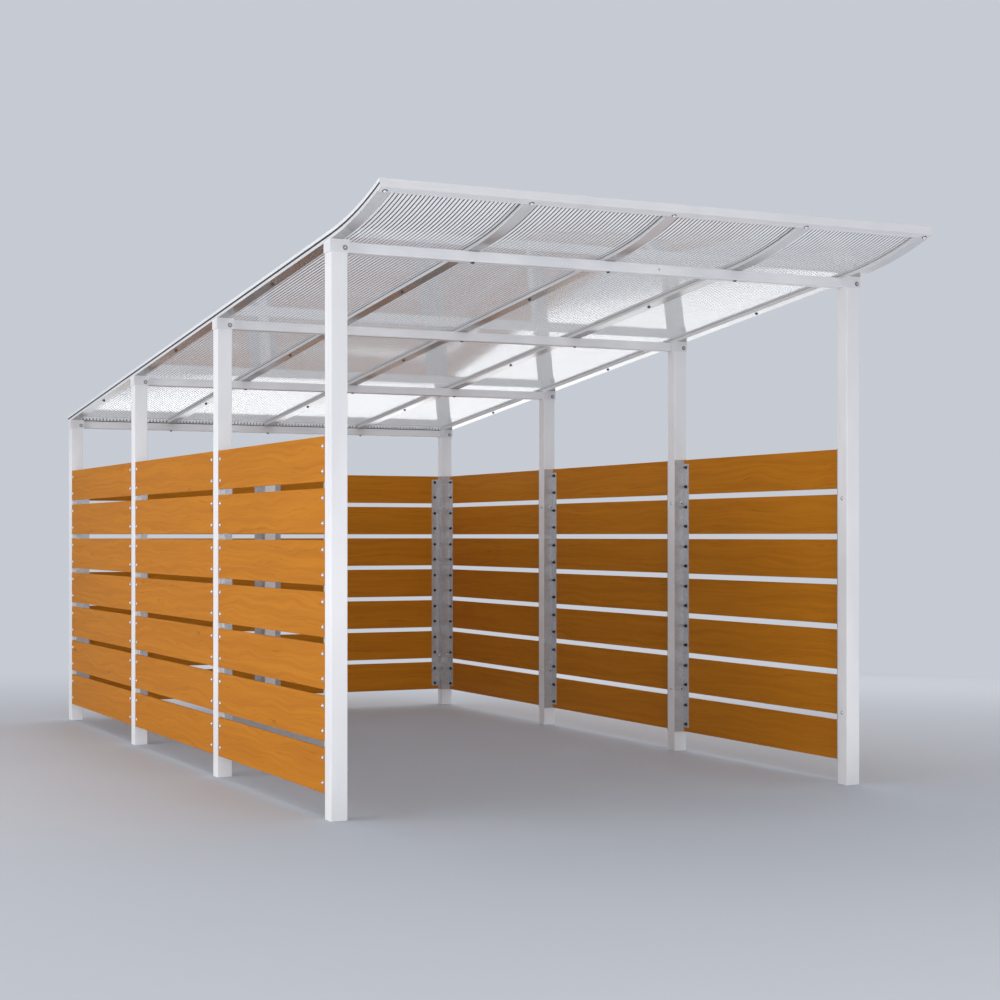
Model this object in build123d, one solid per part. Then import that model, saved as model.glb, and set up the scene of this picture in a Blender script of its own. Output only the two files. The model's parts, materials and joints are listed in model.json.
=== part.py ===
from build123d import *
import math
import os

os.makedirs("parts", exist_ok=True)

# A free-standing shelter for wheeled bins, in millimetres, with +Z up and the open side towards -Y.
# While it is drawn, X = 0 is its middle and Y = 0 is the middle of the front row of posts.
# Just before writing, everything moves along Y so that the origin is the middle of its footprint.

# Plan of the frame
shelter_width = 2914        # over the outer faces of the posts
bay_length = 1716.5         # from one row of posts to the next
post_rows = 4

# Square posts
post_side = 80
post_wall = 3
post_corner = 3             # outer corner radius of the tube
foot_plate = 6              # plate that closes the foot of a post

# Line of the roof: straight from the back, then a tangent upward curve over the front
roof_slope = 5.885          # degrees
head_height = 2631          # underside of the rails at the front face of the front posts
curve_radius = 2541         # of that underside, over the front overhang
curve_sweep = 13.7          # degrees
back_overhang = 22          # of the roof past the back face of the back posts

# Layers of the roof, upwards from the underside of the rails
rail_height = 15
seal_height = 2
sheet_thickness = 16
cover_height = 6

# Roof rails and the strips that clamp the sheets on them
sheets_across = 4
rail_width = 62
rail_wall = 2
clamp_web = 8               # upright web of a rail between two sheets
sheet_gap = 28              # between neighbouring sheets
seal_width = 10
seal_inset = 2              # from the edge of the rail
cover_lip = 15              # height of the cover along the roof's two side edges
edge_skin = 4               # thickness of that lip, and room for the seal below it
edge_seal_inset = 1

# Hollow cells of the translucent sheets
sheet_skin = 0.9
cell_web = 0.6
cells_per_sheet = 34

# Beams across the shelter
beam_depth = 40
beam_height = 50
beam_wall = 3
beam_corner = 5             # outer corner radius of the tube
beam_setback = 0.5          # of a beam from the back face of its posts
lamp_hole_radius = 4.5
lamp_hole_offset = 277      # of the hole in a beam from the middle of the shelter

# Brackets that hold the beams on the posts
head_drop = 58              # from the roof down to the lower edge of a bracket
head_outer_plate = 5
head_side_plate = 3
head_top_plate = 4
head_lap = 8                # past the inner face of the post

# Channel along the front edge
trim_sheet = 1.5
trim_flange = 42
trim_bolt_back = 28         # from the front face of the channel
trim_bolt_radius = 6        # of the head where it meets the channel
trim_bolt_face = 4          # radius of the outer face of the head
trim_bolt_head = 4
trim_nut_radius = 4.5       # over the corners of the nut on top
trim_nut_height = 9

# Closing strip between the back beam and the sheets: a rubber step with a comb in front of it
eave_depth = 12
eave_step_height = 8        # of the front part of the rubber
eave_backing = 4            # depth of its back part, which reaches the sheets
comb_bar = 2                # height of the comb below its teeth

# Walls of horizontal boards
board_height = 207
board_thickness = 13
board_gap = 30
boards_per_wall = 7
board_bottom = 115          # above the ground
board_recess = 4            # behind the outer face of the posts
board_end_gap = 3
board_edge = 1.5            # chamfer along a board's edges
back_wall_panels = 2

# Angle brackets that carry the boards
angle_sheet = 4
angle_flange = 60
angle_bend = 6              # outer radius of the bend
angle_cut_back = 25         # the flange is this much shorter at each end
cutting_room = 1            # of a cutting solid past the faces that it goes through

# Sizes that follow from those above
slope = math.radians(roof_slope)
half_width = shelter_width / 2
half_post = post_side / 2
inner_face = half_width - post_side
row_places = [row * bay_length for row in range(post_rows)]
back_row = row_places[-1]
bend_y = -half_post
curve_run = curve_radius * math.radians(curve_sweep)
straight_run = (back_row + half_post + back_overhang - bend_y) / math.cos(slope)
roof_run = curve_run + straight_run
sheet_low = rail_height + seal_height
sheet_high = sheet_low + sheet_thickness
cover_low = sheet_high + seal_height
roof_depth = cover_low + cover_height
sheet_pitch = shelter_width / sheets_across
rail_count = sheets_across + 1
last_rail = rail_count - 1
board_pitch = board_height + board_gap
board_top = board_bottom + boards_per_wall * board_pitch - board_gap
flange_place = board_recess + board_thickness
clear_of_all = 2 * head_height      # more than any height or reach of a cutting solid
SIDES = {"left": -1, "right": 1}


def block(x_range, y_range, z_range):
    """A box between two X, two Y and two Z values."""
    sizes = [high - low for low, high in (x_range, y_range, z_range)]
    middles = [(high + low) / 2 for low, high in (x_range, y_range, z_range)]
    return Pos(*middles) * Box(*sizes)


def roof_point(up, station):
    """(y, z) at a height above the rails' underside, and a distance back from the roof's front end."""
    into_curve = curve_run - station
    angle = slope + max(into_curve, 0) / curve_radius
    run_back = max(-into_curve, 0)
    centre_y = bend_y + curve_radius * math.sin(slope)
    centre_z = head_height + curve_radius * math.cos(slope)
    reach = curve_radius - up
    y = centre_y - reach * math.sin(angle) + run_back * math.cos(slope)
    z = centre_z - reach * math.cos(angle) - run_back * math.sin(slope)
    return (y, z)


def roof_line(up, start, end):
    """The roof's own line at one height: an arc over the front, then straight."""
    pieces = []
    bend = min(max(curve_run, start), end)
    if bend > start:
        halfway = (start + bend) / 2
        pieces.append(ThreePointArc(*[roof_point(up, place) for place in (start, halfway, bend)]))
    if end > bend:
        pieces.append(Line(roof_point(up, bend), roof_point(up, end)))
    return pieces


def roof_band(heights, x_range, stations):
    """A strip that follows the roof, between two heights, two X values and two stations."""
    low, high = heights
    start, end = stations
    edges = roof_line(low, start, end) + roof_line(high, start, end)
    edges.append(Line(roof_point(low, start), roof_point(high, start)))
    edges.append(Line(roof_point(low, end), roof_point(high, end)))
    left, right = x_range
    return extrude(Plane.YZ.offset(left) * make_face(edges), amount=right - left)


def whole_run():
    """Stations of the front and back ends of the roof."""
    return (0, roof_run)


def above_roof(up):
    """Everything over the roof's line at one height, for cutting posts and brackets to it."""
    room = curve_radius / 4
    return roof_band((up, up + room), (-shelter_width, shelter_width), (-room, roof_run + room))


def underside_z(y):
    """Height of the rails' underside over a point of the straight part."""
    return head_height - (y - bend_y) * math.tan(slope)


def station_at(y):
    """Distance back from the roof's front end of a point of the straight underside."""
    return curve_run + (y - bend_y) / math.cos(slope)


def post(x, y, top_cut):
    """One square tube with a closed foot, cut at the top by the solid that is given."""
    outside = extrude(RectangleRounded(post_side, post_side, post_corner), amount=head_height)
    hollow_side = post_side - 2 * post_wall
    hollow = Pos(0, 0, foot_plate) * Box(
        hollow_side, hollow_side, head_height, align=(Align.CENTER, Align.CENTER, Align.MIN)
    )
    return Pos(x, y, 0) * (outside - hollow) - top_cut


def head_bracket(side, y):
    """The bracket on a post: it wraps three sides and the top, and laps past the inner face."""
    low_edge = underside_z(y - half_post) - head_drop
    x_range = sorted([side * (inner_face - head_lap), side * (half_width + head_outer_plate)])
    y_range = (y - half_post - head_side_plate, y + half_post + head_side_plate)
    shell = block(x_range, y_range, (low_edge, head_height)) - above_roof(0)
    post_x = sorted([side * inner_face, side * half_width])
    post_y = (y - half_post, y + half_post)
    room = block(post_x, post_y, (low_edge, head_height)) - above_roof(-head_top_plate)
    lap_x = sorted([side * (inner_face - head_lap), side * inner_face])
    beam_room = block(lap_x, post_y, (low_edge, head_height))
    return shell - room - beam_room


def roof_plane(x, y):
    """A plane across the roof: its X runs back down the slope, its Y up from the rails' underside."""
    back_along = (0, math.cos(slope), -math.sin(slope))
    return Plane(origin=(x, y, underside_z(y)), x_dir=back_along, z_dir=(1, 0, 0))


def cross_beam(y):
    """A hollow beam between two posts, tilted with the roof, with one hole for a lamp cable."""
    place = roof_plane(-inner_face, y + half_post - beam_setback)
    centre = Pos(-beam_depth / 2, -beam_height / 2)
    outside = RectangleRounded(beam_depth, beam_height, beam_corner)
    inside = Rectangle(beam_depth - 2 * beam_wall, beam_height - 2 * beam_wall)
    tube = extrude(place * (centre * (outside - inside)), amount=2 * inner_face)
    face = roof_plane(lamp_hole_offset, y + half_post - beam_setback)
    drill_place = face * Pos(-beam_depth, -beam_height / 2) * Rot(0, 90, 0)
    return tube - drill_place * Cylinder(lamp_hole_radius, 2 * beam_corner)


def rail_ranges():
    """Left and right edges of the rails: inner ones on the sheet joints, outer ones flush with the posts."""
    ranges = []
    for index in range(rail_count):
        joint = -half_width + index * sheet_pitch
        centre = min(max(joint, -half_width + rail_width / 2), half_width - rail_width / 2)
        ranges.append((centre - rail_width / 2, centre + rail_width / 2))
    return ranges


def web_range(index):
    """Left and right faces of the upright web of a rail."""
    low, high = rail_ranges()[index]
    if index == 0:
        return (low + edge_skin, low + edge_skin + clamp_web)
    if index == last_rail:
        return (high - edge_skin - clamp_web, high - edge_skin)
    middle = (low + high) / 2
    return (middle - clamp_web / 2, middle + clamp_web / 2)


def roof_rail(index):
    """A hollow rail with an upright web that the cover is screwed to."""
    low, high = rail_ranges()[index]
    body = roof_band((0, rail_height), (low, high), whole_run())
    hollow_x = (low + rail_wall, high - rail_wall)
    hollow = roof_band((rail_wall, rail_height - rail_wall), hollow_x, whole_run())
    web = roof_band((rail_height, cover_low), web_range(index), whole_run())
    return body - hollow + web


def rail_cover(index):
    """The strip that clamps the sheets: flat inside, with a deep lip along the roof's side edges."""
    low, high = rail_ranges()[index]
    cover = roof_band((cover_low, roof_depth), (low, high), whole_run())
    lip_heights = (roof_depth - cover_lip, cover_low)
    if index == 0:
        cover += roof_band(lip_heights, (low, low + edge_skin), whole_run())
    if index == last_rail:
        cover += roof_band(lip_heights, (high - edge_skin, high), whole_run())
    return cover


def sheet_range(index):
    """Left and right edges of one translucent sheet."""
    joint = -half_width + index * sheet_pitch
    return (joint + sheet_gap / 2, joint + sheet_pitch - sheet_gap / 2)


def roof_sheet(index):
    """A sheet of two skins with upright webs between them, open at its front and back ends."""
    low, high = sheet_range(index)
    slab = roof_band((sheet_low, sheet_high), (low, high), whole_run())
    cell_pitch = (high - low - cell_web) / cells_per_sheet
    cell_heights = (sheet_low + sheet_skin, sheet_high - sheet_skin)
    cells = []
    for cell in range(cells_per_sheet):
        cell_x = low + cell_web + cell * cell_pitch
        cells.append(roof_band(cell_heights, (cell_x, cell_x + cell_pitch - cell_web), whole_run()))
    return slab.cut(*cells)


def seal_ranges():
    """Left and right edges of the seals: one beside each edge of a rail that carries a sheet."""
    ranges = []
    for index, (low, high) in enumerate(rail_ranges()):
        if index > 0:
            ranges.append((low + seal_inset, low + seal_inset + seal_width))
        if index < last_rail:
            ranges.append((high - seal_inset - seal_width, high - seal_inset))
    return ranges


def sheet_seals(low):
    """Rubber strips on one side of the sheets, along every rail."""
    return [roof_band((low, low + seal_height), edges, whole_run()) for edges in seal_ranges()]


def edge_seals():
    """Dark rubber strips in the grooves along the roof's two side edges."""
    groove = (rail_height, roof_depth - cover_lip)
    strips = []
    for side in SIDES.values():
        x_range = sorted([side * (half_width - edge_seal_inset), side * (half_width - edge_skin)])
        strips.append(roof_band(groove, x_range, whole_run()))
    return strips


def front_trim():
    """A channel over the front ends of the rails, sheets and covers."""
    x_range = (-half_width, half_width)
    heights = (-trim_sheet, roof_depth + trim_sheet)
    web = roof_band(heights, x_range, (-trim_sheet, 0))
    reach = (0, trim_flange - trim_sheet)
    lower = roof_band((-trim_sheet, 0), x_range, reach)
    upper = roof_band((roof_depth, roof_depth + trim_sheet), x_range, reach)
    return web + lower + upper


def trim_bolts():
    """Round heads under the channel at every rail, and nuts on top at every second one."""
    station = trim_bolt_back
    tilt = math.degrees(slope + (curve_run - station) / curve_radius)
    solids = []
    for index, (low, high) in enumerate(rail_ranges()):
        x = (low + high) / 2
        y, z = roof_point(-trim_sheet, station)
        place = Pos(x, y, z) * Rot(-tilt, 0, 0)
        head = Cone(
            trim_bolt_face, trim_bolt_radius, trim_bolt_head, align=(Align.CENTER, Align.CENTER, Align.MAX)
        )
        solids.append(place * head)
        if index % 2 == 0:
            y, z = roof_point(roof_depth + trim_sheet, station)
            nut = extrude(RegularPolygon(trim_nut_radius, 6), amount=trim_nut_height)
            solids.append(Pos(x, y, z) * Rot(-tilt, 0, 0) * nut)
    return solids


def eave_ranges():
    """Left and right ends of the closing strips, between neighbouring rails."""
    edges = rail_ranges()
    return [(edges[index][1], edges[index + 1][0]) for index in range(sheets_across)]


def eave_stations():
    """Front of the closing strip, front of its upright backing, and back of both."""
    middle = station_at(back_row + half_post - beam_setback) - beam_depth / 2
    back = middle + eave_depth / 2
    return (back - eave_depth, back - eave_backing, back)


def eave_seal(x_range):
    """A rubber step on the back beam: low in front, and up to the sheet behind the comb."""
    front, upright, back = eave_stations()
    step = roof_band((0, eave_step_height), x_range, (front, back))
    return step + roof_band((eave_step_height, sheet_low), x_range, (upright, back))


def eave_comb(x_range):
    """A pale comb on the rubber step, with one pointed tooth below each cell of the sheet."""
    front, upright, back = eave_stations()
    left, right = x_range
    tooth_count = round((right - left) * cells_per_sheet / (sheet_pitch - sheet_gap))
    tooth_pitch = (right - left) / tooth_count
    root = eave_step_height + comb_bar
    outline = [(left, eave_step_height), (left, root)]
    for tooth in range(tooth_count):
        tooth_left = left + tooth * tooth_pitch
        outline.append((tooth_left + tooth_pitch / 2, sheet_low))
        outline.append((tooth_left + tooth_pitch, root))
    outline.append((right, eave_step_height))
    to_front = (0, -math.cos(slope), math.sin(slope))
    section = Plane(origin=(0, *roof_point(0, upright)), x_dir=(1, 0, 0), z_dir=to_front)
    return extrude(section * make_face(Polyline(*outline, close=True)), amount=upright - front)


def board_section():
    """Section of a board, with its four long edges chamfered."""
    section = Rectangle(board_thickness, board_height)
    return chamfer(section.vertices(), board_edge)


def board_heights():
    """Heights of the middles of the boards."""
    return [board_bottom + board_height / 2 + row * board_pitch for row in range(boards_per_wall)]


def side_panel(side, bay):
    """The boards of one bay of a side wall."""
    length = bay_length - post_side - 2 * board_end_gap
    start = row_places[bay] + half_post + board_end_gap
    x = side * (half_width - board_recess - board_thickness / 2)
    section = Plane.XZ * board_section()
    board = extrude(section, amount=-length)
    return [Pos(x, start, z) * board for z in board_heights()]


def back_posts_x():
    """Middles of the posts along the back wall, with the short one between them."""
    reach = half_width - half_post
    return [-reach + 2 * reach * place / back_wall_panels for place in range(back_wall_panels + 1)]


def back_panel(index):
    """The boards of one half of the back wall."""
    start = back_posts_x()[index] + half_post + board_end_gap
    end = back_posts_x()[index + 1] - half_post - board_end_gap
    y = back_row + half_post - board_recess - board_thickness / 2
    board = extrude(Plane.YZ * board_section(), amount=end - start)
    return [Pos(start, y, z) * board for z in board_heights()]


def angle_bracket(corner, along, inward):
    """A folded angle on a post: one leg flat on the post, the other carries the ends of the boards."""
    def at(run, depth):
        x = corner[0] + run * along[0] + depth * inward[0]
        y = corner[1] + run * along[1] + depth * inward[1]
        return (x, y)

    outline = Polyline(
        at(0, flange_place),
        at(angle_flange, flange_place),
        at(angle_flange, flange_place + angle_sheet),
        at(angle_sheet, flange_place + angle_sheet),
        at(angle_sheet, post_side),
        at(0, post_side),
        close=True,
    )
    length = board_top - board_bottom
    angle = extrude(make_face(outline), amount=length, dir=(0, 0, 1))
    upright_edges = angle.edges().filter_by(Axis.Z)
    outer_corner = upright_edges.sort_by_distance((*at(0, flange_place), length / 2))[0]
    angle = fillet(outer_corner, angle_bend)
    near = at(angle_bend, flange_place - cutting_room)
    far = at(angle_flange + cutting_room, flange_place + angle_sheet + cutting_room)
    notch_x = sorted([near[0], far[0]])
    notch_y = sorted([near[1], far[1]])
    for z_range in ((0, angle_cut_back), (length - angle_cut_back, length)):
        angle -= block(notch_x, notch_y, z_range)
    return Pos(0, 0, board_bottom) * angle


def side_brackets(side):
    """The angles of one side wall: two in every bay."""
    inward = (-side, 0)
    angles = []
    for bay in range(post_rows - 1):
        front_face = row_places[bay] + half_post
        back_face = row_places[bay + 1] - half_post
        angles.append(angle_bracket((side * half_width, front_face), (0, 1), inward))
        angles.append(angle_bracket((side * half_width, back_face), (0, -1), inward))
    return angles


def back_brackets():
    """The angles of the back wall: two for each half."""
    outer_y = back_row + half_post
    angles = []
    for index in range(back_wall_panels):
        left_face = back_posts_x()[index] + half_post
        right_face = back_posts_x()[index + 1] - half_post
        angles.append(angle_bracket((left_face, outer_y), (1, 0), (0, -1)))
        angles.append(angle_bracket((right_face, outer_y), (-1, 0), (0, -1)))
    return angles


def all_parts():
    """Every node of the shelter by name."""
    parts = {}
    roof_cut = above_roof(-head_top_plate)
    for name, side in SIDES.items():
        for row, y in enumerate(row_places):
            parts[f"{name}_post_{row + 1}"] = post(side * (half_width - half_post), y, roof_cut)
        parts[f"{name}_head_brackets"] = Compound(children=[head_bracket(side, y) for y in row_places])
        for bay in range(post_rows - 1):
            parts[f"{name}_wall_{bay + 1}"] = Compound(children=side_panel(side, bay))
        parts[f"{name}_wall_angles"] = Compound(children=side_brackets(side))
    short_cut = block((-post_side, post_side), (back_row - post_side, back_row + post_side),
                      (board_top, clear_of_all))
    parts["back_middle_post"] = post(back_posts_x()[1], back_row, short_cut)
    for index in range(back_wall_panels):
        parts[f"back_wall_{index + 1}"] = Compound(children=back_panel(index))
    parts["back_wall_angles"] = Compound(children=back_brackets())
    for row, y in enumerate(row_places):
        parts[f"cross_beam_{row + 1}"] = cross_beam(y)
    for index in range(rail_count):
        parts[f"roof_rail_{index + 1}"] = roof_rail(index)
        parts[f"rail_cover_{index + 1}"] = rail_cover(index)
    for index in range(sheets_across):
        parts[f"roof_sheet_{index + 1}"] = roof_sheet(index)
    parts["lower_sheet_seals"] = Compound(children=sheet_seals(rail_height))
    parts["upper_sheet_seals"] = Compound(children=sheet_seals(sheet_high))
    parts["roof_edge_seals"] = Compound(children=edge_seals())
    parts["front_trim"] = front_trim()
    parts["front_trim_bolts"] = Compound(children=trim_bolts())
    parts["eave_seal"] = Compound(children=[eave_seal(x_range) for x_range in eave_ranges()])
    parts["eave_comb"] = Compound(children=[eave_comb(x_range) for x_range in eave_ranges()])
    return parts


def main():
    """Write every node with the origin in the middle of the footprint, on the ground."""
    front_y = roof_point(-trim_sheet, -trim_sheet)[0]
    back_y = roof_point(roof_depth, roof_run)[0]
    to_origin = Pos(0, -(front_y + back_y) / 2, 0)
    for name, shape in all_parts().items():
        export_step(to_origin * shape, f"parts/{name}.step")


main()
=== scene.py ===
# %% [markdown]
# # A shelter for wheeled bins
# The steel frame, the boards and the roof sheets are ready as solids, as a metal shop would draw them.
# This lesson gives them their finishes, adds the small fastenings, and sets up a plain studio.
# Everything is in metres: X runs to the right of the open front, Y runs back to the far wall, Z runs up.

import json
import math

import bmesh
import bpy
from mathutils import Matrix, Vector


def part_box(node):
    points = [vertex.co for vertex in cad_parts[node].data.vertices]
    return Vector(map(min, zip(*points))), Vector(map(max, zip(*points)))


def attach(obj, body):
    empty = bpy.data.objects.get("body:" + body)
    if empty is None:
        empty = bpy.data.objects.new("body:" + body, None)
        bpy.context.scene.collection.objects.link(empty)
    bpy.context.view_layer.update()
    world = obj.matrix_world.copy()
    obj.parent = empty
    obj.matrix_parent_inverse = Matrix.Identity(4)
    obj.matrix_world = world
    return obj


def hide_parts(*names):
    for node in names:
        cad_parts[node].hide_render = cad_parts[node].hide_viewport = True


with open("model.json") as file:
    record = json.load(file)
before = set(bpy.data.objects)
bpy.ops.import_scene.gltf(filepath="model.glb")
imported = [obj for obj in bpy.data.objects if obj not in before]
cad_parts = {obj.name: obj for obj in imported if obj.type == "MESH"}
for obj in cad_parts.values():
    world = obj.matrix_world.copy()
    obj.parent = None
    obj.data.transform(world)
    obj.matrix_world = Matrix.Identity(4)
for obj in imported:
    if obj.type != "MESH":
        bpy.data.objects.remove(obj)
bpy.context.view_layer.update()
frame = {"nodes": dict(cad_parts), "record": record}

# %% [markdown]
# ## Measures from the frame
# The fastenings have to sit on the real steel, so their places are read from the solids and not guessed.
# A box around a post gives the tube's side, two boxes give the length of a bay, and so on.
# That way the bolts still land in the right place when somebody makes the shelter wider.

# %% Posts, walls and slope
POST_ROWS = 4
RAILS = 5
BOARDS_PER_WALL = 7
BOARD_GAP = 0.030
ANGLE_SHEET = 0.004


def middle(node):
    """The middle of a node's box."""
    low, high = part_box(node)
    return (low + high) / 2


post_low, post_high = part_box("left_post_1")
post_side = post_high.x - post_low.x
half_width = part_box("right_post_1")[1].x
inner_face = half_width - post_side
rows = [middle(f"left_post_{row + 1}").y for row in range(POST_ROWS)]
bay_length = rows[1] - rows[0]
wall_low, wall_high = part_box("left_wall_1")
board_height = (wall_high.z - wall_low.z - (BOARDS_PER_WALL - 1) * BOARD_GAP) / BOARDS_PER_WALL
board_pitch = board_height + BOARD_GAP
board_face = -wall_low.x
flange_face = -wall_high.x - ANGLE_SHEET
board_middles = [wall_low.z + board_height / 2 + board_pitch * board for board in range(BOARDS_PER_WALL)]
print("post", round(post_side, 3), "bay", round(bay_length, 4), "board", round(board_height, 4))

# %% Slope and curve of the roof
BEAM_HEIGHT = 0.050
ROOF_RADIUS = 2.541         # of the rails' underside, over the front
ROOF_SWEEP = math.radians(13.7)

front_beam, back_beam = middle("cross_beam_1"), middle("cross_beam_4")
slope = math.atan2(front_beam.z - back_beam.z, back_beam.y - front_beam.y)
roof_down = Vector((0, -math.sin(slope), -math.cos(slope)))
roof_back = Vector((0, math.cos(slope), -math.sin(slope)))


def rail_underside(y):
    """A point's height on the straight underside of the rails."""
    top = front_beam - roof_down * BEAM_HEIGHT / 2
    return top.z - (y - top.y) * math.tan(slope)


bend_y = rows[0] - post_side / 2
curve_y = bend_y + ROOF_RADIUS * math.sin(slope)
curve_z = rail_underside(bend_y) + ROOF_RADIUS * math.cos(slope)
print("roof slope", round(math.degrees(slope), 2), "degrees")
print("curve centre", round(curve_y, 3), round(curve_z, 3))

# %% [markdown]
# ## A wrapper for sockets
# A finish is a small formula: noise times something, plus something else.
# In the node editor each sign of that formula is a Math node, which soon fills the screen.
# Python lets a class say what + and * mean, so a formula can be typed as one, and the nodes appear by
# themselves. Colours and places don't go through these signs: a Math node has one number only, so it would
# turn a colour grey.

# %% The class
class Wire:
    """One output of a material's nodes. The signs + - * / add Math nodes to it."""

    def __init__(self, tree, output=None):
        self.tree = tree
        self.output = output

    def node(self, kind, settings=None, inputs=None, out=0):
        """Any node: its settings come first, then the values or wires of its sockets."""
        made = self.tree.nodes.new(kind)
        for name, value in (settings or {}).items():
            setattr(made, name, value)
        for socket, value in (inputs or {}).items():
            if isinstance(value, Wire):
                self.tree.links.new(value.output, made.inputs[socket])
            else:
                made.inputs[socket].default_value = value
        return Wire(self.tree, made.outputs[out] if made.outputs else None)

    def maths(self, operation, first, second=0.0):
        """A Math node, for what has no sign of its own."""
        return self.node("ShaderNodeMath", {"operation": operation}, {0: first, 1: second})

    def __add__(self, other):
        return self.maths("ADD", self, other)

    def __sub__(self, other):
        return self.maths("SUBTRACT", self, other)

    def __rsub__(self, other):
        return self.maths("SUBTRACT", other, self)

    def __mul__(self, other):
        return self.maths("MULTIPLY", self, other)

    def __truediv__(self, other):
        return self.maths("DIVIDE", self, other)

    __radd__ = __add__
    __rmul__ = __mul__


# %% [markdown]
# ## Words for finishes
# A few steps come back in many finishes: where on the part we are and which way its face looks, a soft step
# from 0 to 1, a mix of two colours, and noise that is long in one direction, as the marks of a drawn metal are.
# Each gets one short function, so a finish below reads as a description of the real surface.

# %% Shader helpers
SCREEN_WHITE = 255
SCREEN_DARK = 10            # up to here the standard for screens is a straight line, above it a power
DARK_DIVISOR = 12.92
SCREEN_OFFSET = 0.055
SCREEN_POWER = 2.4


def linear(part):
    """One part of a screen's colour, 0 to 255, turned into the linear number that light needs."""
    if part <= SCREEN_DARK:
        return part / (SCREEN_WHITE * DARK_DIVISOR)
    return ((part / SCREEN_WHITE + SCREEN_OFFSET) / (1 + SCREEN_OFFSET)) ** SCREEN_POWER


def screen(red, green, blue):
    """A colour as a screen shows it, as a socket wants it."""
    return (linear(red), linear(green), linear(blue), 1.0)


def new_finish(name):
    """An empty material and the wire that its nodes start from."""
    material = bpy.data.materials.new(name)
    material.use_nodes = True
    material.node_tree.nodes.clear()
    return material, Wire(material.node_tree)


def place_on(start):
    """The place on the part, in metres."""
    return start.node("ShaderNodeTexCoord", out="Object")


def along(place, axis):
    """One of the three parts of a place."""
    return place.node("ShaderNodeSeparateXYZ", inputs={0: place}, out=axis)


def noise(place, lengths, detail=2.0, roughness=0.5):
    """Noise from 0 to 1 whose marks have these lengths along X, Y and Z, in metres."""
    scaled = place.node("ShaderNodeVectorMath", {"operation": "DIVIDE"}, {0: place, 1: lengths})
    return place.node("ShaderNodeTexNoise", inputs={
        "Vector": scaled, "Scale": 1.0, "Detail": detail, "Roughness": roughness})


def step(value, low, high):
    """0 below low, 1 above high, and smooth in between."""
    return value.node("ShaderNodeMapRange", {"interpolation_type": "SMOOTHSTEP"}, {
        "Value": value, "From Min": low, "From Max": high})


def blend(share, first, second):
    """The first colour where share is 0 and the second where it is 1."""
    return share.node("ShaderNodeMix", {"data_type": "RGBA"}, {0: share, 6: first, 7: second}, out=2)


def bump(height, distance, strength=1.0):
    """A normal from a height of 0 to 1 that is this many metres deep."""
    return height.node("ShaderNodeBump", inputs={
        "Height": height, "Distance": distance, "Strength": strength})


def surface(start, **sockets):
    """The shader that most finishes end in; _ in a name stands for a space."""
    return start.node("ShaderNodeBsdfPrincipled", inputs={
        name.replace("_", " "): value for name, value in sockets.items()})


def close(shader):
    """Joins the shader to the material's output."""
    shader.node("ShaderNodeOutputMaterial", inputs={"Surface": shader})


print("helpers ready")

# %% [markdown]
# ## Powder coat
# The posts, beams and brackets are steel with a silver-white coat that was sprayed as dry powder and baked.
# Seen close, such a coat has a fine orange-peel skin, a few millimetres from dimple to dimple.
# Seen from afar, it isn't one even tone: slow clouds of slightly thicker coat drift along the tube.
# A picture could show that, but noise costs nothing, has no seams and runs on over every tube.

# %% The coat on posts, beams and brackets
PEEL = 0.004
CLOUD = (0.30, 0.30, 0.75)


def powder_coat(name, pale, dull, roughness):
    """A baked coat between two tones."""
    material, start = new_finish(name)
    place = place_on(start)
    clouds = noise(place, CLOUD, 3.0)
    speck = noise(place, (PEEL / 2,) * 3, 1.0)
    peel = noise(place, (PEEL,) * 3, 1.0)
    tone = step(clouds * 0.75 + speck * 0.25, 0.35, 0.65)
    close(surface(
        start,
        Base_Color=blend(tone, dull, pale),
        Roughness=roughness + clouds * 0.10,
        Normal=bump(peel, PEEL / 40, 0.35),
    ))
    return material


finishes = {
    "post_paint": powder_coat("post_powder_coat", screen(233, 233, 235), screen(222, 222, 225), 0.34),
    "beam_paint": powder_coat("beam_powder_coat", screen(228, 228, 231), screen(216, 216, 220), 0.36),
    "head_bracket_paint": powder_coat(
        "bracket_powder_coat", screen(226, 226, 229), screen(212, 212, 216), 0.36),
}
print("powder coats:", sorted(finishes))

# %% [markdown]
# ## Drawn aluminium
# Rails and covers are pressed through a die, and the front channel is folded from rolled sheet. Both leave hair
# lines along the metal. They are stretched noise here: millimetres across and most of a metre along.
# They change the roughness more than the colour, because that is what a scratch does to a mirror.
# The rails have one thing more: their straight underside is polished metal that mirrors the boards, and its
# colour is painted darker there as shade; it turns matt and loses the painted shade where the rails were bent
# over the front.

# %% Rails, covers and front channel
HAIR_LINE = (0.0016, 0.9, 0.0016)
HANDLING = (0.12, 0.35, 0.12)
# painted shade: the darker colour of the rails' straight underside, which starts and ends with the polish
SHADED_UNDERSIDE = screen(158, 156, 154)
POLISH_METAL = 0.5          # what full polish adds to Metallic
SHADE_AND_POLISH_STARTS = 0.35        # in front of the bend
SHADE_AND_POLISH_FULL = 0.05          # behind the bend


def looks_down(start):
    """1 on faces that look down, 0 on upright ones and on those that look up."""
    normal = start.node("ShaderNodeTexCoord", out="Normal")
    return step(0 - along(normal, "Z"), 0.5, 0.8)


def behind_bend(place):
    """0 on the front of the roof's curve, rising to 1 where the straight run starts."""
    return step(along(place, "Y"), bend_y - SHADE_AND_POLISH_STARTS, bend_y + SHADE_AND_POLISH_FULL)


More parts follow.
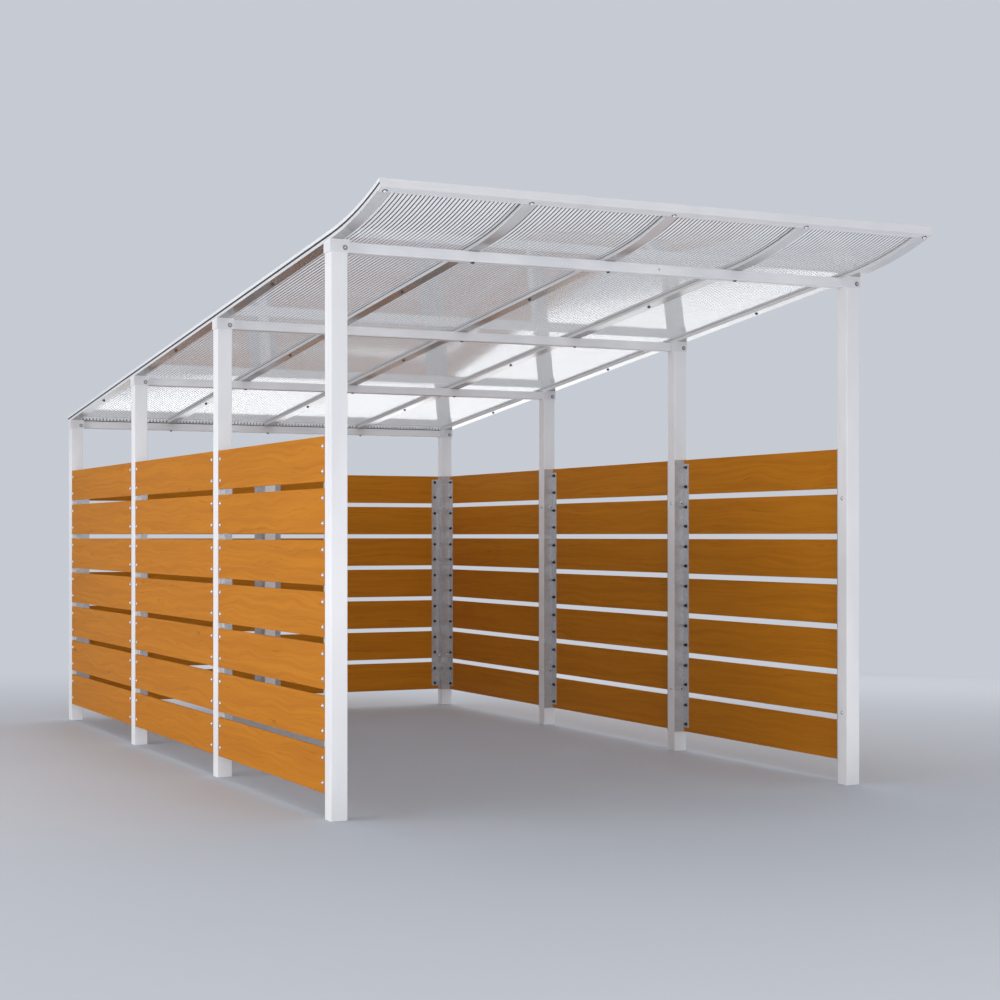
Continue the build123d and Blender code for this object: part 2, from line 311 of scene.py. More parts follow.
def drawn_metal(name, pale, dull, metal, roughness, lines=HAIR_LINE, polish_and_shade=0.0):
    """Metal with hair lines along one direction. Polish makes its straight underside more metallic and paints
    it darker as shade.
    """
    material, start = new_finish(name)
    place = place_on(start)
    hairs = noise(place, lines, 2.0, 0.6)
    handling = noise(place, HANDLING, 3.0)
    tone = step(hairs * 0.6 + handling * 0.4, 0.30, 0.70)
    colour = blend(tone, dull, pale)
    if polish_and_shade:
        underside_shade_and_polish = looks_down(start) * behind_bend(place) * polish_and_shade
        # painted shade: faces that look down behind the bend take the darker colour
        colour = blend(underside_shade_and_polish, colour, SHADED_UNDERSIDE)
        metal = metal + underside_shade_and_polish * POLISH_METAL
    close(surface(
        start,
        Base_Color=colour,
        Metallic=metal,
        Roughness=roughness + (hairs - 0.5) * 0.16 + (handling - 0.5) * 0.12,
        Normal=bump(hairs, 0.00005, 0.12),
    ))
    return material


across_lines = (HAIR_LINE[1], HAIR_LINE[0], HAIR_LINE[2])
finishes["rail_aluminium"] = drawn_metal(
    "drawn_rail", screen(226, 226, 228), screen(210, 210, 213), 0.15, 0.22, polish_and_shade=0.9)
finishes["cover_aluminium"] = drawn_metal(
    "drawn_cover", screen(232, 232, 235), screen(220, 220, 224), 0.06, 0.44)
finishes["trim_aluminium"] = drawn_metal(
    "folded_channel", screen(233, 233, 236), screen(222, 222, 226), 0.06, 0.44, across_lines)
print("drawn metals done")

# %% [markdown]
# ## Hollow roof sheets
# Each sheet is clear plastic with two thin skins and upright webs between them, one about every 20 mm.
# The webs are real in the model. They show as grey lines because a web seen on edge bends the light away.
# Glass that truly bends light would show this too, but it also makes the shade under the roof black and noisy.
# So each skin is part clear and part milky, with light passing on through it, and has a gloss that grows at
# flat angles. A soft grey line is drawn where a web joins the lower skin only, because lines on both skins
# would cross and blur.

# %% Where the webs and the lower skin are
CELLS_PER_SHEET = 34
LINE_WIDTH = 0.44           # share of a cell
SKIN_LIMIT = 0.020          # above the rails' underside: the lower skin lies below it, the upper one above
SKIN_EDGE = 0.001

sheet_low, sheet_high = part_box("roof_sheet_1")
sheet_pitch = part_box("roof_sheet_2")[0].x - sheet_low.x
cell_pitch = (sheet_high.x - sheet_low.x) / CELLS_PER_SHEET


def web_lines(place):
    """1 on the webs of every sheet and 0 in the middle of its cells."""
    from_edge = along(place, "X") - sheet_low.x
    in_sheet = from_edge.maths("FLOORED_MODULO", from_edge, sheet_pitch)
    in_cell = in_sheet.maths("FLOORED_MODULO", in_sheet / cell_pitch, 1.0)
    from_web = in_cell.maths("MINIMUM", in_cell, 1 - in_cell)
    from_side = in_sheet.maths("MINIMUM", in_sheet, CELLS_PER_SHEET * cell_pitch - in_sheet)
    inside = step(from_side, cell_pitch * 0.3, cell_pitch * 0.6)
    return (1 - step(from_web, LINE_WIDTH / 6, LINE_WIDTH / 2)) * inside


def lower_skin(place):
    """1 on the lower skin and 0 on the upper one, along the straight run and along the curve."""
    back = along(place, "Y") - curve_y
    above = along(place, "Z") - curve_z
    past_curve = back * math.cos(slope) - above * math.sin(slope)
    below_centre = back * -math.sin(slope) - above * math.cos(slope)
    round_part = back.maths("MINIMUM", past_curve, 0.0)
    reach = back.maths("SQRT", round_part * round_part + below_centre * below_centre)
    return step(reach, ROOF_RADIUS - SKIN_LIMIT, ROOF_RADIUS - SKIN_LIMIT + SKIN_EDGE)


print("cell pitch", round(cell_pitch * 1000, 2), "mm")

# %% [markdown]
# ## Light through the sheets
# Milky plastic passes light on, which a Translucent shader does. It takes one plain colour here, and the grey
# lines come from mixing it with a second, dark one: a Mix Shader's factor may vary over the surface, and the
# exported model keeps that. The gloss is worked out from how flat we look at the face. A Fresnel node would do
# for solid glass, but on the inner face of a thin skin it turns into a full mirror and makes the roof dark.

# %% The clear-white plastic
SKIN_TONE = screen(252, 252, 253)
LINE_TONE = screen(60, 61, 64)
CLEAR_TONE = (0.99, 0.99, 0.99, 1.0)
LIGHT_PASSES = 0.8          # share of the milky part that passes light on
HEAD_ON_MIRROR = 0.04       # what plastic mirrors when we look straight at it
FLAT_POWER = 5.0            # how fast that grows towards flat angles
SHEET_GLOSS = 0.5           # share of the gloss that dust leaves


def milky_sheet(name):
    """Two thin skins that are part clear and part milky, with grey web lines on the lower one."""
    material, start = new_finish(name)
    place = place_on(start)
    lower = lower_skin(place)
    lines = web_lines(place) * lower
    haze = noise(place, (0.5, 1.1, 0.5), 2.0)
    colour = blend(lines, SKIN_TONE, LINE_TONE)
    plastic = surface(start, Base_Color=colour, Roughness=0.12 + haze * 0.06, Specular_IOR_Level=0.0)
    pale_glow = start.node("ShaderNodeBsdfTranslucent", inputs={"Color": SKIN_TONE})
    line_glow = start.node("ShaderNodeBsdfTranslucent", inputs={"Color": LINE_TONE})
    glow = start.node("ShaderNodeMixShader", inputs={0: lines, 1: pale_glow, 2: line_glow})
    milk = start.node("ShaderNodeMixShader", inputs={0: LIGHT_PASSES, 1: plastic, 2: glow})
    clear = start.node("ShaderNodeBsdfTransparent", inputs={"Color": CLEAR_TONE})
    cover = 0.10 + haze * 0.08 + lower * 0.14 + lines * 0.46
    body = start.node("ShaderNodeMixShader", inputs={0: cover, 1: clear, 2: milk})
    gloss = start.node("ShaderNodeBsdfGlossy", inputs={"Color": (1, 1, 1, 1), "Roughness": 0.08})
    flat_angle = start.node("ShaderNodeLayerWeight", inputs={"Blend": 0.5}, out="Facing")
    shine = flat_angle.maths("POWER", flat_angle, FLAT_POWER) * (1 - HEAD_ON_MIRROR) + HEAD_ON_MIRROR
    close(start.node("ShaderNodeMixShader", inputs={0: shine * SHEET_GLOSS, 1: body, 2: gloss}))
    return material


finishes["translucent_sheet"] = milky_sheet("milky_multiwall")
print("sheet finish done")

# %% [markdown]
# ## Board decor
# The boards are pressed panels with a varnished wood decor: warm orange-brown, with low-contrast streaks that
# wander along the board and fade again, and a darker knot here and there.
# The streaks are noise that is long along the board and millimetres high. A slower noise first pushes its
# place up and down, so the streaks sway as grain does. Each board gets its own piece of the noise, as each was
# cut from another place, and a fine fibre noise keeps the plain stretches alive.

# %% The wood finish, for boards along Y or along X
GRAIN_PALE = screen(192, 121, 25)
GRAIN_MIDDLE = screen(178, 109, 20)
GRAIN_DARK = screen(131, 71, 11)
KNOT = screen(110, 56, 8)
CUT_ELSEWHERE = 37.0        # how far apart in the noise two boards may be cut, in metres
SWAY_HEIGHT = 0.10


def board_decor(name, run):
    """Wood decor whose grain runs along the axis with this number: 0 is X and 1 is Y."""
    def sizes(length, thickness, height):
        return (length, thickness, height) if run == 0 else (thickness, length, height)

    material, start = new_finish(name)
    place = place_on(start)
    cell = place.node("ShaderNodeVectorMath", {"operation": "SNAP"}, {
        0: place.node("ShaderNodeVectorMath", {"operation": "SUBTRACT"}, {
            0: place, 1: (0.0, rows[0], wall_low.z - BOARD_GAP / 2)}),
        1: sizes(bay_length if run == 1 else half_width, 0.5, board_pitch)})
    shift = place.node("ShaderNodeTexWhiteNoise", {"noise_dimensions": "3D"}, {"Vector": cell}, out="Color")
    own = place.node("ShaderNodeVectorMath", {"operation": "MULTIPLY_ADD"}, {
        0: shift, 1: (CUT_ELSEWHERE,) * 3, 2: place})
    sway = noise(own, sizes(0.50, 0.5, 0.12), 1.0)
    swayed = own.node("ShaderNodeVectorMath", {"operation": "ADD"}, {
        0: own, 1: own.node("ShaderNodeCombineXYZ", inputs={2: sway * SWAY_HEIGHT})})
    growth = noise(swayed, sizes(1.10, 0.5, 0.022), 3.0, 0.55)
    streaks = step(noise(swayed, sizes(0.26, 0.5, 0.0075), 3.0, 0.6), 0.56, 0.74)
    patches = noise(own, sizes(0.40, 0.5, 0.030), 3.0, 0.6)
    fibre = noise(own, sizes(0.035, 0.01, 0.0022), 2.0, 0.6)
    knots = own.node("ShaderNodeTexVoronoi", inputs={
        "Vector": own.node("ShaderNodeVectorMath", {"operation": "DIVIDE"}, {
            0: own, 1: sizes(0.75, 2.0, 0.21)}),
        "Scale": 1.0})
    knot = 1 - step(knots, 0.02, 0.07)
    warmth = step(growth * 0.6 + fibre * 0.25 + patches * 0.15, 0.36, 0.64)
    warm = blend(warmth, GRAIN_MIDDLE, GRAIN_PALE)
    dark_streaks = streaks * step(patches, 0.40, 0.62) * 0.50
    dark_fibre = step(fibre, 0.58, 0.80) * 0.14
    streaked = blend(dark_streaks + dark_fibre, warm, GRAIN_DARK)
    close(surface(
        start,
        Base_Color=blend(knot * step(patches, 0.35, 0.60) * 0.6, streaked, KNOT),
        Roughness=0.50 + streaks * 0.10 + fibre * 0.10,
        Specular_IOR_Level=0.1,
        Normal=bump(fibre, 0.0002, 0.35),
    ))
    return material


board_finishes = {
    "side": board_decor("board_decor_along_side", 1),
    "back": board_decor("board_decor_along_back", 0),
}
print("board decors:", sorted(board_finishes))

# %% [markdown]
# ## Zinc, rubber and plastic
# The folded angles are dipped in zinc, which sets in flakes of slightly different grey and stays a bit shiny.
# The seals are matt rubber with a dusty bloom, and the comb under the eaves is pale moulded plastic.
# Bright bolts are plated steel; the nuts inside the walls have black plastic caps.

# %% The small finishes
FLAKE = 0.014


def zinc(name):
    """Grey flakes under a slow change of tone."""
    material, start = new_finish(name)
    place = place_on(start)
    flakes = place.node("ShaderNodeTexVoronoi", inputs={
        "Vector": place, "Scale": 1 / FLAKE, "Randomness": 1.0}, out="Color")
    flake = along(flakes, "X")
    clouds = noise(place, (0.1, 0.1, 0.35), 3.0)
    close(surface(
        start,
        Base_Color=blend(flake * 0.4 + clouds * 0.6, screen(172, 173, 177), screen(198, 199, 203)),
        Metallic=0.25,
        Roughness=0.14 + flake * 0.06 + clouds * 0.08,
        Normal=bump(clouds, 0.0002, 0.2),
    ))
    return material


def moulded(name, pale, dull, roughness, grain=0.0015):
    """Rubber or plastic: a fine skin and a slow change of tone."""
    material, start = new_finish(name)
    place = place_on(start)
    skin = noise(place, (grain,) * 3, 2.0)
    bloom = noise(place, (0.08, 0.25, 0.08), 3.0)
    close(surface(
        start,
        Base_Color=blend(bloom, dull, pale),
        Roughness=roughness + bloom * 0.15,
        Normal=bump(skin, grain / 10, 0.4),
    ))
    return material


def plated(name, pale, dull, roughness):
    """Small turned metal parts with a slightly uneven plating."""
    material, start = new_finish(name)
    place = place_on(start)
    stain = noise(place, (0.006,) * 3, 3.0)
    close(surface(
        start,
        Base_Color=blend(stain, dull, pale),
        Metallic=0.9,
        Roughness=roughness + stain * 0.15,
    ))
    return material


finishes["angle_zinc"] = zinc("dipped_zinc")
finishes["sheet_seal"] = moulded("pale_seal_rubber", screen(240, 240, 242), screen(228, 228, 230), 0.55)
finishes["edge_seal"] = moulded("dark_seal_rubber", screen(34, 33, 34), screen(20, 20, 21), 0.55)
finishes["comb_plastic"] = moulded("comb_plastic_pale", screen(244, 244, 245), screen(232, 232, 234), 0.40)
finishes["bolt_steel"] = plated("plated_steel", screen(226, 226, 230), screen(186, 187, 192), 0.22)
# black plastic for the real caps on the nuts; the same black is painted shade in the angle bolts' sockets and
# the rings under the channel's domes
black_cap_and_shade = moulded("black_plastic_and_painted_shade", screen(34, 33, 35), screen(20, 20, 22), 0.30, 0.0008)
grey_steel = plated("grey_ring_steel", screen(150, 151, 155), screen(120, 121, 126), 0.34)
dark_steel = plated("dark_screw_steel", screen(88, 88, 92), screen(56, 56, 60), 0.34)
print("finishes:", sorted(finishes))

# %% [markdown]
# ## Dress the frame
# The record of the frame says which finish each solid takes, so one loop dresses them all.
# Only the boards need a choice: grain runs along a board, so the back wall has the finish that runs along X.

# %% Give every solid its finish
for part in frame["record"]["subparts"]:
    node = frame["nodes"][part["node"]]
    if part["material_slot"] == "wood_board":
        finish = board_finishes["back" if part["node"].startswith("back") else "side"]
    else:
        finish = finishes[part["material_slot"]]
    node.data.materials.clear()
    node.data.materials.append(finish)

# %% [markdown]
# ## Turned fastenings
# A bolt head, a washer and a nut are all turned or six-sided shapes about one axis.
# A cylinder would do from ten metres, but close up it has no dome, no washer and no rounded edge for the light.
# So each is a short profile of radius and height that is turned about its axis, with 6 sides for a nut.
# One bolt is made once and then copied to every hole in a single mesh, which keeps the file light.

# %% Turn a profile, and copy it to many places
ROUND = 20                  # sides of a round part
SMALL_ROUND = 16
HEX = 6
CREASE = math.radians(32)   # edges that bend more than this stay sharp


def finished_mesh(name, shape):
    """Turns a shape's faces outwards and makes a mesh of it."""
    bmesh.ops.recalc_face_normals(shape, faces=shape.faces)
    mesh = bpy.data.meshes.new(name)
    shape.to_mesh(mesh)
    shape.free()
    return mesh


def turned(name, *profiles):
    """A mesh from (sides, [(radius, height), ...]) profiles that are turned about +Z."""
    shape = bmesh.new()
    for sides, profile in profiles:
        turns = [math.tau * side / sides for side in range(sides)]
        rings = []
        for radius, height in profile:
            angles = turns if radius > 0 else turns[:1]
            points = [(radius * math.cos(angle), radius * math.sin(angle), height) for angle in angles]
            rings.append([shape.verts.new(point) for point in points])
        for below, above in zip(rings, rings[1:]):
            for side in range(sides):
                after = side + 1
                corners = [below[side % len(below)], below[after % len(below)],
                           above[after % len(above)], above[side % len(above)]]
                shape.faces.new(list(dict.fromkeys(corners)))
    return finished_mesh(name, shape)


def facing(place, direction):
    """Puts a small part at a place, with its own +Z along a direction."""
    return Matrix.Translation(place) @ Vector(direction).to_track_quat("Z", "Y").to_matrix().to_4x4()


def copies(name, small, seats, finish):
    """One mesh with the small part on every seat. It rides with the frame."""
    joined = bmesh.new()
    for seat in seats:
        first = len(joined.verts)
        joined.from_mesh(small)
        joined.verts.ensure_lookup_table()
        bmesh.ops.transform(joined, matrix=seat, verts=joined.verts[first:])
    mesh = bpy.data.meshes.new(name)
    joined.to_mesh(mesh)
    joined.free()
    mesh.shade_smooth()
    mesh.set_sharp_from_angle(angle=CREASE)
    mesh.materials.append(finish)
    piece = bpy.data.objects.new(name, mesh)
    bpy.context.scene.collection.objects.link(piece)
    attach(piece, "root")
    print(name, len(seats), "copies,", len(mesh.polygons), "faces")
    return piece


# %% [markdown]
# ## Bolts of the boards
# Two bolts hold each end of a board to the flange of its angle. Outside there is a low bright dome on a
# washer, and inside a nut with a black domed cap, which shows as a row of dark dots along every post.

# %% Two bolts at each end of each board
BOLT_FROM_POST = 0.035      # to the face of the post
BOLT_SPREAD = 0.115         # between the two bolts of one board end
DOME_HEAD = [(0, 0), (0.0105, 0), (0.0110, 0.0006), (0.0106, 0.0013), (0.0085, 0.0014), (0.0084, 0.0026),
             (0.0074, 0.0048), (0.0052, 0.0066), (0.0026, 0.0074), (0, 0.0076)]
CAP_WASHER = [(0, 0), (0.0110, 0), (0.0112, 0.0008), (0.0108, 0.0016), (0, 0.0016)]
CAP_HEX = [(0.0088, 0.0014), (0.0088, 0.0072), (0.0080, 0.0082), (0, 0.0084)]
CAP_DOME = [(0.0070, 0.0078), (0.0070, 0.0100), (0.0062, 0.0130), (0.0042, 0.0152), (0.0018, 0.0162),
            (0, 0.0164)]

dome_head = turned("dome_head", (ROUND, DOME_HEAD))
cap_nut = turned("cap_nut", (ROUND, CAP_WASHER), (HEX, CAP_HEX), (SMALL_ROUND, CAP_DOME))
bolt_levels = [z + offset for z in board_middles for offset in (-BOLT_SPREAD / 2, BOLT_SPREAD / 2)]
end_reach = post_side / 2 + BOLT_FROM_POST
side_places = [y for near, far in zip(rows, rows[1:]) for y in (near + end_reach, far - end_reach)]
corner_x = inner_face - BOLT_FROM_POST
back_places = [-corner_x, -end_reach, end_reach, corner_x]
back_low, back_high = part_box("back_wall_1")
back_flange_face = back_low.y - ANGLE_SHEET

for side, sign in (("left", -1), ("right", 1)):
    holes = [(y, z) for y in side_places for z in bolt_levels]
    outside = [facing((sign * board_face, y, z), (sign, 0, 0)) for y, z in holes]
    inside = [facing((sign * flange_face, y, z), (-sign, 0, 0)) for y, z in holes]
    copies(f"{side}_wall_bolt_heads", dome_head, outside, finishes["bolt_steel"])
    copies(f"{side}_wall_cap_nuts", cap_nut, inside, black_cap_and_shade)
holes = [(x, z) for x in back_places for z in bolt_levels]
outside = [facing((x, back_high.y, z), (0, 1, 0)) for x, z in holes]
inside = [facing((x, back_flange_face, z), (0, -1, 0)) for x, z in holes]
copies("back_wall_bolt_heads", dome_head, outside, finishes["bolt_steel"])
copies("back_wall_cap_nuts", cap_nut, inside, black_cap_and_shade)

# %% [markdown]
# ## Bolts through the posts
# The legs of the angles are bolted to the posts in two places, near the top and the bottom of the boards.
# The bolt on an angle has a bright rim around a socket whose floor is black, painted shade for its recess, so
# it reads as a ring; on the bare inner face of a post there is a plain dome.

# %% Fixings at two levels
FIXING_LEVELS = (0.373, 1.484)
FIXING_FROM_EDGE = 0.036    # from the outer face of the post
RIM = [(0.0046, 0.0036), (0.0054, 0.0062), (0.0074, 0.0062), (0.0086, 0.0048), (0.0088, 0.0014),
       (0.0118, 0.0013), (0.0122, 0.0006), (0.0116, 0), (0, 0)]
SOCKET = [(0, 0.0040), (0.0052, 0.0040)]

rim = turned("fixing_rim", (ROUND, RIM))
socket = turned("fixing_socket", (HEX, SOCKET))
leg_x = half_width - FIXING_FROM_EDGE
leg_seats = []
for sign in (-1, 1):
    for z in FIXING_LEVELS:
        for near, far in zip(rows, rows[1:]):
            leg_seats.append(facing((sign * leg_x, near + post_side / 2 + ANGLE_SHEET, z), (0, 1, 0)))
            leg_seats.append(facing((sign * leg_x, far - post_side / 2 - ANGLE_SHEET, z), (0, -1, 0)))
leg_y = rows[-1] + post_side / 2 - FIXING_FROM_EDGE
for z in FIXING_LEVELS:
    leg_seats.append(facing((-inner_face + ANGLE_SHEET, leg_y, z), (1, 0, 0)))
    leg_seats.append(facing((inner_face - ANGLE_SHEET, leg_y, z), (-1, 0, 0)))
    leg_seats.append(facing((-post_side / 2 - ANGLE_SHEET, leg_y, z), (-1, 0, 0)))
    leg_seats.append(facing((post_side / 2 + ANGLE_SHEET, leg_y, z), (1, 0, 0)))
copies("angle_fixing_rims", rim, leg_seats, finishes["bolt_steel"])
# painted shade: the socket floors of the angle bolts are black for the shade in their recess
copies("angle_fixing_sockets", socket, leg_seats, black_cap_and_shade)
post_seats = [facing((sign * inner_face, y, z), (-sign, 0, 0))
              for sign in (-1, 1) for y in rows[:-1] for z in FIXING_LEVELS]
copies("post_fixing_heads", dome_head, post_seats, finishes["bolt_steel"])

# %% [markdown]
# ## Screws of the roof
# Screws come up through the beams into the rails, and more of them through the rails at mid-bay into the
# covers. Their dark heads hang just below the steel. The roof slopes, so each head leans with it.

# %% Heads under the beams and under the rails
HEX_HEAD = [(0.0075, 0.0014), (0.0075, 0.0052), (0.0066, 0.0062), (0, 0.0064)]
HEX_WASHER = [(0, 0), (0.0100, 0), (0.0102, 0.0007), (0.0098, 0.0015), (0, 0.0015)]

hex_screw = turned("hex_screw", (ROUND, HEX_WASHER), (HEX, HEX_HEAD))
rail_middles = [middle(f"roof_rail_{rail + 1}").x for rail in range(RAILS)]
beam_seats = []
for row in range(POST_ROWS):
    centre = middle(f"cross_beam_{row + 1}")
    for x in rail_middles[1:-1]:
        below = centre + roof_down * BEAM_HEIGHT / 2
        beam_seats.append(facing((x, below.y, below.z), roof_down))
copies("beam_screws", hex_screw, beam_seats, dark_steel)

MID_BAY = 0.507             # share of a bay, from its front post
rail_seats = [facing((x, y, rail_underside(y)), roof_down)
              for x in rail_middles for y in [row + MID_BAY * bay_length for row in rows[:-1]]]
copies("rail_screws", hex_screw, rail_seats, dark_steel)

# %% [markdown]
# ## Bolts of the head brackets
# Each bracket is held by one bolt on its front plate, always near the right-hand edge as you face the front.
# It shows as a grey ring with a pale middle, because its socket has the bracket's own coat.

# %% One bolt on each front plate
BRACKET_SHEET = 0.003
BOLT_BELOW_ROOF = 0.038
LEFT_FROM_INSIDE = 0.013    # towards the outside, from the inner face of the left post
RIGHT_FROM_OUTSIDE = 0.019

bracket_seats = []
for y in rows:
    face_y = y - post_side / 2 - BRACKET_SHEET
    z = rail_underside(y - post_side / 2) - BOLT_BELOW_ROOF
    bracket_seats.append(facing((-inner_face - LEFT_FROM_INSIDE, face_y, z), (0, -1, 0)))
    bracket_seats.append(facing((half_width - RIGHT_FROM_OUTSIDE, face_y, z), (0, -1, 0)))
copies("head_bracket_rims", rim, bracket_seats, grey_steel)
copies("head_bracket_sockets", socket, bracket_seats, finishes["head_bracket_paint"])

# %% [markdown]
# ## Bolts of the front channel
# Below every rail a bolt comes up through the channel. Its pale dome hangs on a black ring, which is painted
# shade for the shadowed notch around the bolt and shows as a dark arch because we look at it almost from the
# side.

# %% A ring of painted shade and a dome below every rail
TRIM_SHEET = 0.0015
TRIM_BOLT_BACK = 0.028      # from the front end of the rails
# painted shade: the black ring under each dome stands for the shadow in the notch around the bolt
TRIM_SHADE_RING = [(0, 0), (0.0112, 0), (0.0118, 0.0008), (0.0112, 0.0018), (0, 0.0018)]
TRIM_DOME = [(0.0074, 0.0016), (0.0074, 0.0036), (0.0064, 0.0060), (0.0040, 0.0076), (0, 0.0080)]

bolt_angle = slope + ROOF_SWEEP - TRIM_BOLT_BACK / ROOF_RADIUS
reach = ROOF_RADIUS + TRIM_SHEET
trim_down = Vector((0, -math.sin(bolt_angle), -math.cos(bolt_angle)))
trim_seats = [facing(Vector((x, curve_y, curve_z)) + trim_down * reach, trim_down) for x in rail_middles]
trim_shade_ring = turned("trim_shade_ring", (ROUND, TRIM_SHADE_RING))
trim_dome = turned("trim_dome", (ROUND, TRIM_DOME))
# the black ring is painted shade
copies("front_trim_shade_rings", trim_shade_ring, trim_seats, black_cap_and_shade)
copies("front_trim_domes", trim_dome, trim_seats, finishes["trim_aluminium"])

# %% [markdown]
# ## Comb under the eaves
# Between the back beam and the sheets stands a pale comb on black rubber, which keeps birds and leaves out.
# The solid has simple pointed teeth.

# %% Square teeth between the rails
TOOTH_PITCH = 0.024
TOOTH_WIDTH = 0.0135
TOOTH_DEPTH = 0.006
COMB_FOOT = 0.005           # height of the rubber below the teeth
COMB_FROM_EDGE = 0.001      # behind the front edge of the beam
COMB_CLEARANCE = 0.0005     # below the sheets
BEAM_DEPTH = 0.040
SPINE_HEIGHT = 0.003        # of the bar that joins the teeth behind
SPINE_DEPTH = 0.002
WORN_TOP = 0.7              # share of a tooth's width that is left on top
SHOULDER = 0.85             # share of its height where the worn corners start


def extruded(name, *blocks):
    """A mesh from (outline, front, back) blocks: each outline of (x, z) points runs from front to back."""
    shape = bmesh.new()
    for outline, front, back in blocks:
        near = [shape.verts.new((x, front, z)) for x, z in outline]
        far = [shape.verts.new((x, back, z)) for x, z in outline]
        shape.faces.new(near)
        shape.faces.new(far[::-1])
        for corner in range(len(outline)):
            after = (corner + 1) % len(outline)
            shape.faces.new((near[corner], far[corner], far[after], near[after]))
    return finished_mesh(name, shape)


comb_low, comb_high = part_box("eave_comb")
under_sheet = (comb_high.z - rail_underside(comb_low.y)) * math.cos(slope)
tooth_height = under_sheet - COMB_FOOT - COMB_CLEARANCE
beam_edge = back_beam - roof_down * BEAM_HEIGHT / 2 - roof_back * (BEAM_DEPTH / 2 - COMB_FROM_EDGE)
foot_place = beam_edge - roof_down * COMB_FOOT
half_tooth = TOOTH_WIDTH / 2
worn = half_tooth * WORN_TOP
shoulder = tooth_height * SHOULDER
tooth_outline = [(-half_tooth, 0), (half_tooth, 0), (half_tooth, shoulder), (worn, tooth_height),
                 (-worn, tooth_height), (-half_tooth, shoulder)]
half_pitch = TOOTH_PITCH / 2
spine_outline = [(-half_pitch, 0), (half_pitch, 0), (half_pitch, SPINE_HEIGHT), (-half_pitch, SPINE_HEIGHT)]
foot_outline = [(-half_pitch, -COMB_FOOT), (half_pitch, -COMB_FOOT), (half_pitch, 0), (-half_pitch, 0)]
tooth_block = (tooth_outline, 0, TOOTH_DEPTH)
spine_block = (spine_outline, TOOTH_DEPTH - SPINE_DEPTH, TOOTH_DEPTH)
tooth = extruded("comb_tooth", tooth_block, spine_block)
foot = extruded("comb_foot", (foot_outline, 0, TOOTH_DEPTH))
teeth_seats = []
for rail in range(RAILS - 1):
    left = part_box(f"roof_rail_{rail + 1}")[1].x
    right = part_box(f"roof_rail_{rail + 2}")[0].x
    count = math.floor((right - left) / TOOTH_PITCH)
    first = (left + right - (count - 1) * TOOTH_PITCH) / 2
    for number in range(count):
        seat = Matrix.Translation((first + number * TOOTH_PITCH, foot_place.y, foot_place.z))
        teeth_seats.append(seat @ Matrix.Rotation(-slope, 4, "X"))
teeth = copies("eave_comb_teeth", tooth, teeth_seats, finishes["comb_plastic"])
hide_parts("eave_comb")
copies("eave_comb_foot", foot, teeth_seats, finishes["edge_seal"])

# %% [markdown]
# ## Studio
# A pale floor runs out to the same tone as the air behind it, so no horizon cuts through the picture.
# The floor is a real surface near the shelter, because it has to hold the shadow, and turns into the plain
# tone far away. Only rays from the camera, or those that a shiny or clear part sends on, see that tone.

# %% Floor and air
PALE = screen(198, 203, 211)
FLOOR_RADIUS = 45.0
FLOOR_SIDES = 96
FLOOR_BELOW = 0.0005        # under the feet of the posts
PLAIN_FROM = 3.5            # from the middle of the shelter
PLAIN_TO = 8.0
AIR_LIGHT = 0.50


def seen(start):
    """1 for rays that the camera, a shiny part or a clear part looks along."""
    path = [start.node("ShaderNodeLightPath", out=name)
            for name in ("Is Camera Ray", "Is Glossy Ray", "Is Transmission Ray")]
    return start.maths("MINIMUM", path[0] + path[1] + path[2], 1.0)


def floor_finish():
    """A matt floor that turns into the plain tone far away."""
    material, start = new_finish("pale_floor")
    place = place_on(start)
    distance = start.node("ShaderNodeVectorMath", {"operation": "LENGTH"}, {0: place}, out="Value")
    grain = noise(place, (0.9, 0.9, 0.9), 3.0)
    colour = blend(grain, screen(179, 183, 191), screen(183, 187, 195))
    lit = surface(start, Base_Color=colour, Roughness=0.85)
    plain = start.node("ShaderNodeEmission", inputs={"Color": PALE, "Strength": 1.0})
    share = step(distance, PLAIN_FROM, PLAIN_TO) * seen(start)
    close(start.node("ShaderNodeMixShader", inputs={0: share, 1: lit, 2: plain}))
    return material


floor_mesh = bpy.data.meshes.new("studio_floor")
floor_shape = bmesh.new()
bmesh.ops.create_circle(floor_shape, cap_ends=True, segments=FLOOR_SIDES, radius=FLOOR_RADIUS)
floor_shape.to_mesh(floor_mesh)
floor_shape.free()
floor = bpy.data.objects.new("studio_floor", floor_mesh)
floor.location.z = -FLOOR_BELOW
floor_mesh.materials.append(floor_finish())
bpy.context.scene.collection.objects.link(floor)

world = bpy.data.worlds.new("studio_air")
bpy.context.scene.world = world
world.use_nodes = True
world.node_tree.nodes.clear()
air = Wire(world.node_tree)
soft = air.node("ShaderNodeBackground", inputs={"Color": (0.96, 0.98, 1.0, 1.0), "Strength": AIR_LIGHT})
tone = air.node("ShaderNodeBackground", inputs={"Color": PALE, "Strength": 1.0})
mixed = air.node("ShaderNodeMixShader", inputs={0: seen(air), 1: soft, 2: tone})
air.node("ShaderNodeOutputWorld", inputs={"Surface": mixed})
print("floor radius", FLOOR_RADIUS, "m")

# %% [markdown]
# ## Lamps
# The light comes mostly from the left at wall height, so the left faces of the posts are the brightest and
# the boards shade the ones behind them. A wide panel over the roof shines down through the sheets, only so
# strong that the pale covers on top stay just below plain white. A weak one at the front lifts the faces that
# look at us, a low one behind the right wall gives the bright reflections under the roof, and one on the floor
# stands for the light that paving throws back up.

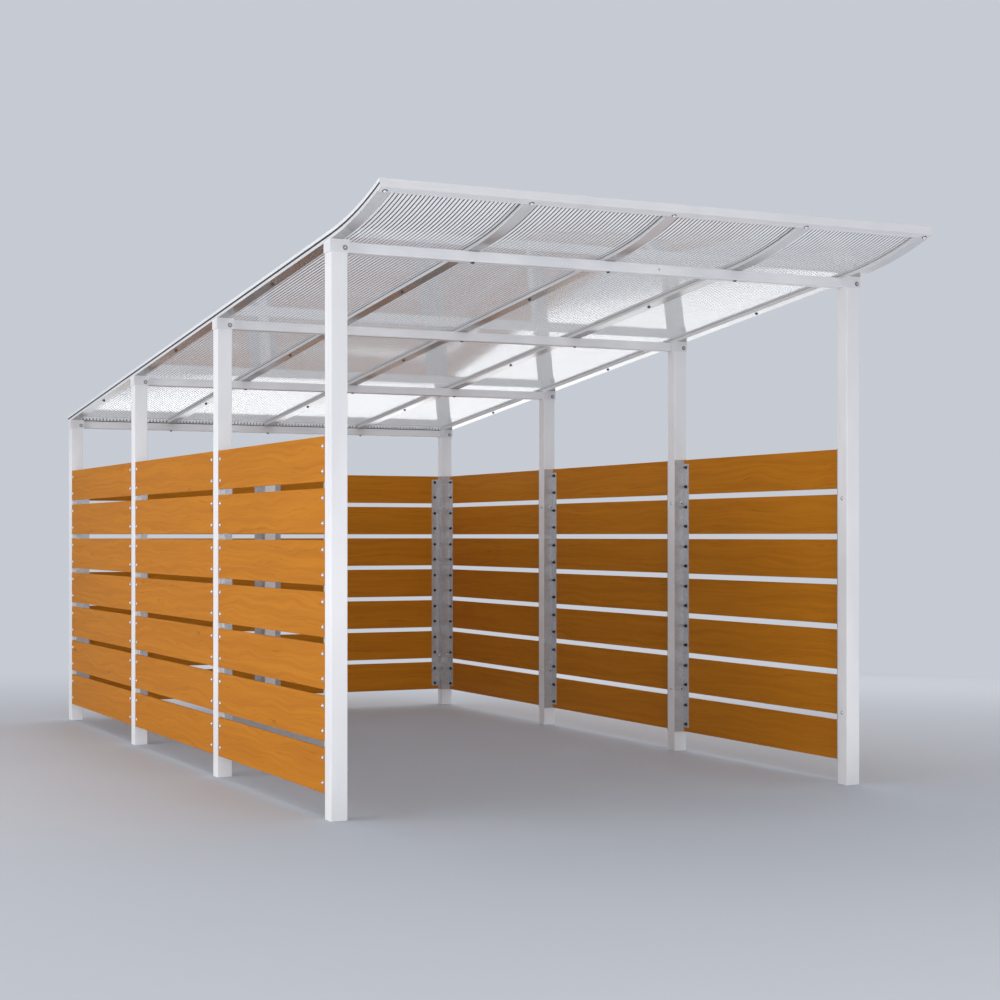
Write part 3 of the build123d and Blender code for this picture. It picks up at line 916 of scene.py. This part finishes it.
# %% Soft panels
def soft_panel(name, place, aim, size, power):
    """A rectangular lamp that the camera doesn't see."""
    light = bpy.data.lights.new(name, "AREA")
    light.shape = "RECTANGLE"
    light.size, light.size_y = size
    light.energy = power
    lamp = bpy.data.objects.new(name, light)
    lamp.location = place
    lamp.rotation_euler = (Vector(aim) - Vector(place)).to_track_quat("-Z", "Y").to_euler()
    lamp.visible_camera = False
    bpy.context.scene.collection.objects.link(lamp)
    print(name, power, "W")


soft_panel("left_panel", (-9.0, -1.5, 2.0), (0, 0, 1.2), (8.0, 3.2), 430)
soft_panel("top_panel", (0.0, 0.5, 7.5), (0, 0.2, 2.5), (7.0, 8.0), 270)
soft_panel("front_panel", (-1.5, -11.0, 2.0), (0, 0, 1.4), (6.0, 3.2), 240)
soft_panel("far_panel", (4.5, 5.5, 1.25), (0, 1, 1.25), (14.0, 2.4), 180)
soft_panel("floor_panel", (0.0, -4.4, 0.02), (0.0, -4.4, 1.0), (6.0, 3.2), 40)

# %% [markdown]
# ## Camera
# The picture was taken at chest height with the camera level: all posts stay upright in it.
# A level camera puts the horizon in the middle, so a small shift moves the picture up instead of a tilt.

# %% A level camera in front of the left corner
CAMERA_PLACE = (-4.4273, -10.2551, 1.29)
CAMERA_TURN = 25.714        # degrees to the right of straight back
PICTURE_SIDE = 1000
FOCAL_PIXELS = 1869.41
HORIZON_PIXEL = 535.66
SENSOR = 36.0               # width in millimetres
FAR_END = 200.0
CLEAR_FACES = 32            # of roof sheet that one line of sight may pass through

lens = bpy.data.cameras.new("front_left_camera")
lens.sensor_width = SENSOR
lens.lens = FOCAL_PIXELS * SENSOR / PICTURE_SIDE
lens.shift_y = (HORIZON_PIXEL - PICTURE_SIDE / 2) / PICTURE_SIDE
lens.clip_end = FAR_END
camera = bpy.data.objects.new("front_left_camera", lens)
camera.location = CAMERA_PLACE
camera.rotation_euler = (math.radians(90), 0, -math.radians(CAMERA_TURN))
bpy.context.scene.collection.objects.link(camera)
bpy.context.scene.camera = camera
bpy.context.scene.view_settings.view_transform = "Standard"
bpy.context.scene.cycles.transparent_max_bounces = CLEAR_FACES
print("lens", round(lens.lens, 2), "mm")
